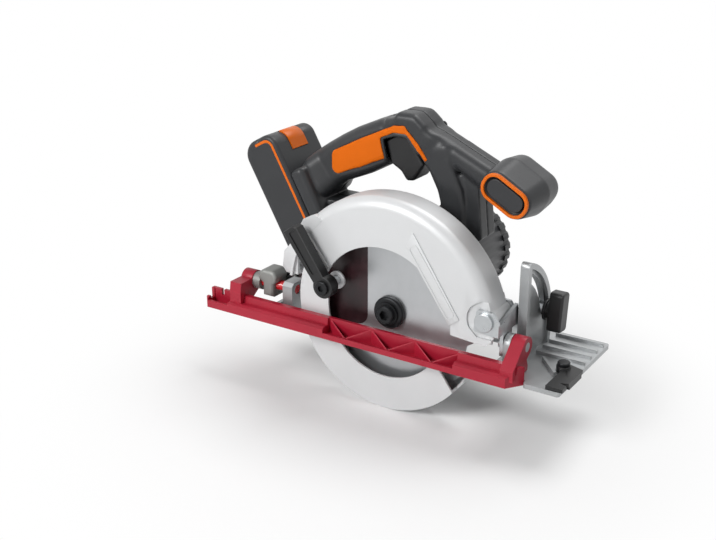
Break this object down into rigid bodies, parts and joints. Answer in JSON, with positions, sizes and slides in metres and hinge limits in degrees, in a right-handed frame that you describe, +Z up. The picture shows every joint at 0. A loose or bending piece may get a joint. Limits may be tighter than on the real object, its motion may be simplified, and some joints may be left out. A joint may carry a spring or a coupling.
{
  "type": "cordless circular saw",
  "caption": "Hand-held battery circular saw with a tilting sole, swinging lower blade guard, depth and bevel locks, D handle with trigger and a slide-on battery pack.",
  "frame": {"origin": "on the underside of the sole, straight below the arbor, in the plane of the blade", "axes": "+X forward in the cutting direction, +Y to the left (motor side), +Z up from the sole"},
  "size_m": [0.3515, 0.1686, 0.2518],
  "materials": {
    "cast_alloy": "sand cast, tumbled",
    "guard_paint": "silver powder coat",
    "grey_casting": "die cast, dull grey",
    "sheet_steel": "rolled, zinc plated",
    "blade_steel": "ground",
    "black_steel": "black oxide",
    "red_plastic": "fine grain",
    "red_paint": "gloss",
    "grey_plastic": "fine grain",
    "black_plastic": "fine grain",
    "orange_rubber": "soft overmould",
    "orange_plastic": "satin",
    "copper": "enamelled",
    "cell_wrap": "shrink film"
  },
  "bodies": {
    "base": {"sole_plate": "cast_alloy", "bevel_quadrant": "cast_alloy", "guide_bar": "red_plastic", "front_pivot_pin": "sheet_steel", "rear_pivot_rod": "red_paint", "sight_insert": "black_plastic", "sight_screw": "black_steel"},
    "bevel_frame": {"front_bracket": "sheet_steel", "rear_tilt_bracket": "grey_casting", "depth_link": "sheet_steel", "link_rivets": "sheet_steel", "depth_pivot_pin": "sheet_steel", "bevel_stud": "sheet_steel"},
    "bevel_knob": {"bevel_knob": "black_plastic"},
    "saw_body": {"upper_guard": "guard_paint", "guard_hub": "cast_alloy", "gear_case": "cast_alloy", "motor_housing": "grey_plastic", "motor_end_cap": "grey_plastic", "stator": "black_steel", "spindle_bearings": "sheet_steel", "motor_bearings": "sheet_steel", "handle_right": "grey_plastic", "handle_left": "grey_plastic", "handle_screws": "black_steel", "grip_panel_right": "orange_rubber", "grip_panel_left": "orange_rubber", "front_handle": "grey_plastic", "front_handle_ring": "orange_plastic", "front_handle_cap": "grey_plastic", "switch_module": "black_plastic", "terminal_block": "black_plastic", "guard_spring": "sheet_steel", "guard_screws": "black_steel", "depth_lock_stud": "sheet_steel"},
    "depth_lock": {"depth_lock_lever": "black_plastic"},
    "lower_guard": {"lower_guard": "guard_paint", "lower_guard_lever": "black_plastic", "lever_spacer": "sheet_steel", "lever_screw": "black_steel"},
    "spindle": {"spindle": "sheet_steel", "drive_gear": "sheet_steel", "inner_flange": "sheet_steel", "outer_flange": "black_steel", "blade": "blade_steel", "blade_bolt": "black_steel"},
    "rotor": {"motor_shaft": "sheet_steel", "armature": "copper", "commutator": "copper", "motor_fan": "black_plastic"},
    "trigger": {"trigger": "black_plastic"},
    "lock_off_button": {"lock_off_button": "black_plastic"},
    "spindle_lock_button": {"spindle_lock_button": "black_plastic"},
    "battery": {"battery_case_front": "grey_plastic", "battery_case_rear": "grey_plastic", "battery_cells": "cell_wrap"},
    "battery_release": {"battery_release_button": "orange_plastic"}
  },
  "joints": [
    {"name": "bevel_tilt", "type": "hinge", "parent": "base", "child": "bevel_frame", "pos_m": [0, 0, 0.026], "axis": [1, 0, 0], "range_deg": [0, 45]},
    {"name": "bevel_knob_turn", "type": "hinge", "parent": "bevel_frame", "child": "bevel_knob", "pos_m": [0.13, 0.05359, 0.03837], "axis": [1, 0, 0], "range_deg": [0, 120]},
    {"name": "depth_swing", "type": "hinge", "parent": "bevel_frame", "child": "saw_body", "pos_m": [0.097, 0, 0.0465], "axis": [0, 1, 0], "range_deg": [0, 26]},
    {"name": "depth_lock_turn", "type": "hinge", "parent": "saw_body", "child": "depth_lock", "pos_m": [-0.05933, 0.025, 0.032], "axis": [0, 1, 0], "range_deg": [-50, 0]},
    {"name": "lower_guard_swing", "type": "hinge", "parent": "saw_body", "child": "lower_guard", "pos_m": [0, 0, 0.0275], "axis": [0, 1, 0], "range_deg": [0, 105], "stiffness_Nm_per_rad": 0.25, "springref_deg": -57.3},
    {"name": "spindle_spin", "type": "hinge", "parent": "saw_body", "child": "spindle", "pos_m": [0, 0, 0.0275], "axis": [0, -1, 0], "continuous": true},
    {"name": "rotor_spin", "type": "hinge", "parent": "saw_body", "child": "rotor", "pos_m": [0.007, 0.07, 0.05358], "axis": [0, -1, 0], "continuous": true},
    {"name": "trigger_pull", "type": "slide", "parent": "saw_body", "child": "trigger", "axis": [-0.35, 0, 0.9367], "range_m": [0, 0.006], "stiffness_N_per_m": 900, "springref_m": -0.004},
    {"name": "lock_off_press", "type": "slide", "parent": "saw_body", "child": "lock_off_button", "axis": [0, -1, 0], "range_m": [0, 0.003], "stiffness_N_per_m": 600, "springref_m": -0.002},
    {"name": "spindle_lock_press", "type": "slide", "parent": "saw_body", "child": "spindle_lock_button", "axis": [-1, 0, 0], "range_m": [0, 0.003], "stiffness_N_per_m": 600, "springref_m": -0.002},
    {"name": "battery_slide", "type": "slide", "parent": "saw_body", "child": "battery", "axis": [-0.4924, 0, 0.8704], "range_m": [0, 0.08]},
    {"name": "battery_release_press", "type": "slide", "parent": "battery", "child": "battery_release", "axis": [-0.8704, 0, -0.4924], "range_m": [0, 0.0025], "stiffness_N_per_m": 600, "springref_m": -0.002}
  ],
  "couplings": [
    {"joint": "rotor_spin", "follows": "spindle_spin", "ratio": -5}
  ]
}
